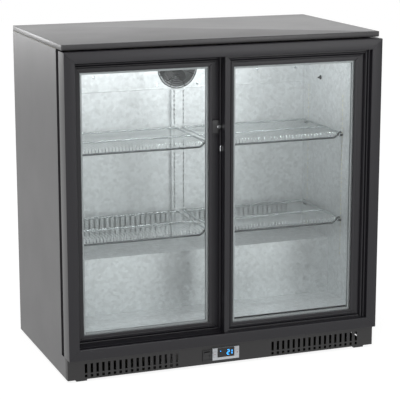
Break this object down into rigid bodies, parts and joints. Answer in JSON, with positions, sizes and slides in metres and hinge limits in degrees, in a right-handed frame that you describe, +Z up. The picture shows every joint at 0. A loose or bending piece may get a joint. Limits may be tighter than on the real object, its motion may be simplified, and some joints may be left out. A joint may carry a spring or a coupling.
{
  "type": "under counter fridge",
  "caption": "Black under-counter bottle fridge with sliding double-glazed doors, galvanised cabin, wire shelves, slotted kick plate and a small digital thermostat.",
  "frame": {"origin": "on the floor, under the middle of the cabinet", "axes": "+Z up, +X to the right seen from the front, the doors face -Y"},
  "size_m": [0.9, 0.52, 0.9],
  "materials": {
    "black_enamel": "satin",
    "black_profile": "satin",
    "galvanised_steel": "satin",
    "foam": "matte",
    "glass": "polished",
    "rubber": "matte",
    "bright_wire": "gloss",
    "silver_plastic": "satin",
    "black_plastic": "satin",
    "chrome": "polished",
    "aluminium": "satin",
    "lamp_white": "satin",
    "machine_black": "satin"
  },
  "bodies": {
    "cabinet": {"worktop": "black_enamel", "left_side_panel": "black_enamel", "right_side_panel": "black_enamel", "back_panel": "black_enamel", "kick_plate": "black_enamel", "base_tray": "machine_black", "compressor": "machine_black", "condenser": "machine_black", "evaporator_fan_motor": "machine_black", "mains_inlet": "black_plastic", "fan_grille": "black_plastic", "controller_window": "black_plastic", "power_switch_case": "black_plastic", "insulation_left": "foam", "insulation_right": "foam", "liner_left": "galvanised_steel", "liner_right": "galvanised_steel", "liner_floor": "galvanised_steel", "liner_back_and_ceiling": "galvanised_steel", "duct_cover": "galvanised_steel", "rear_centre_post": "galvanised_steel", "front_centre_post": "galvanised_steel", "evaporator_coil": "aluminium", "lower_left_shelf": "bright_wire", "lower_right_shelf": "bright_wire", "upper_left_shelf": "bright_wire", "upper_right_shelf": "bright_wire", "cabin_lamp": "lamp_white", "frame_jamb_left": "black_profile", "frame_jamb_right": "black_profile", "frame_head": "black_profile", "frame_sill": "black_profile", "controller_case": "silver_plastic"},
    "left_door": {"left_door_left_stile": "black_profile", "left_door_right_stile": "black_profile", "left_door_top_rail": "black_profile", "left_door_bottom_rail": "black_profile", "left_door_outer_pane": "glass", "left_door_inner_pane": "glass", "left_door_spacer": "aluminium", "left_door_seal": "rubber", "lock_barrel": "chrome"},
    "right_door": {"right_door_left_stile": "black_profile", "right_door_right_stile": "black_profile", "right_door_top_rail": "black_profile", "right_door_bottom_rail": "black_profile", "right_door_outer_pane": "glass", "right_door_inner_pane": "glass", "right_door_spacer": "aluminium", "right_door_seal": "rubber"},
    "left_door_roller_left": {"left_door_roller_left": "black_plastic"},
    "left_door_roller_right": {"left_door_roller_right": "black_plastic"},
    "right_door_roller_left": {"right_door_roller_left": "black_plastic"},
    "right_door_roller_right": {"right_door_roller_right": "black_plastic"},
    "lock_plug": {"lock_plug": "chrome"},
    "evaporator_fan": {"evaporator_fan_wheel": "black_plastic"},
    "condenser_fan": {"condenser_fan_wheel": "black_plastic"},
    "key_left": {"controller_key_left": "silver_plastic"},
    "key_right": {"controller_key_right": "silver_plastic"},
    "rocker": {"power_switch_rocker": "black_plastic"}
  },
  "joints": [
    {"name": "left_door_slide", "type": "slide", "parent": "cabinet", "child": "left_door", "axis": [1, 0, 0], "range_m": [0, 0.4]},
    {"name": "right_door_slide", "type": "slide", "parent": "cabinet", "child": "right_door", "axis": [-1, 0, 0], "range_m": [0, 0.4]},
    {"name": "left_door_roller_left_spin", "type": "hinge", "parent": "left_door", "child": "left_door_roller_left", "pos_m": [-0.364, -0.2145, 0.0893], "axis": [0, 1, 0], "range_deg": [0, 2548.48]},
    {"name": "left_door_roller_right_spin", "type": "hinge", "parent": "left_door", "child": "left_door_roller_right", "pos_m": [-0.052, -0.2145, 0.0893], "axis": [0, 1, 0], "range_deg": [0, 2548.48]},
    {"name": "right_door_roller_left_spin", "type": "hinge", "parent": "right_door", "child": "right_door_roller_left", "pos_m": [0.052, -0.2405, 0.0893], "axis": [0, -1, 0], "range_deg": [0, 2548.48]},
    {"name": "right_door_roller_right_spin", "type": "hinge", "parent": "right_door", "child": "right_door_roller_right", "pos_m": [0.364, -0.2405, 0.0893], "axis": [0, -1, 0], "range_deg": [0, 2548.48]},
    {"name": "lock_turn", "type": "hinge", "parent": "left_door", "child": "lock_plug", "pos_m": [-0.015, -0.226, 0.662], "axis": [0, 1, 0], "range_deg": [0, 90]},
    {"name": "evaporator_fan_spin", "type": "hinge", "parent": "cabinet", "child": "evaporator_fan", "pos_m": [0, 0.165, 0.774], "axis": [0, 1, 0], "continuous": true},
    {"name": "condenser_fan_spin", "type": "hinge", "parent": "cabinet", "child": "condenser_fan", "pos_m": [-0.16, 0.143, 0.118], "axis": [0, 1, 0], "continuous": true},
    {"name": "key_left_press", "type": "slide", "parent": "cabinet", "child": "key_left", "axis": [0, 1, 0], "range_m": [0, 0.001], "stiffness_N_per_m": 600},
    {"name": "key_right_press", "type": "slide", "parent": "cabinet", "child": "key_right", "axis": [0, 1, 0], "range_m": [0, 0.001], "stiffness_N_per_m": 600},
    {"name": "rocker_flip", "type": "hinge", "parent": "cabinet", "child": "rocker", "pos_m": [-0.0545, -0.236, 0.031], "axis": [-1, 0, 0], "range_deg": [0, 16]}
  ],
  "couplings": [
    {"joint": "left_door_roller_left_spin", "follows": "left_door_slide", "rad_per_m": 111.11},
    {"joint": "left_door_roller_right_spin", "follows": "left_door_slide", "rad_per_m": 111.11},
    {"joint": "right_door_roller_left_spin", "follows": "right_door_slide", "rad_per_m": 111.11},
    {"joint": "right_door_roller_right_spin", "follows": "right_door_slide", "rad_per_m": 111.11}
  ]
}
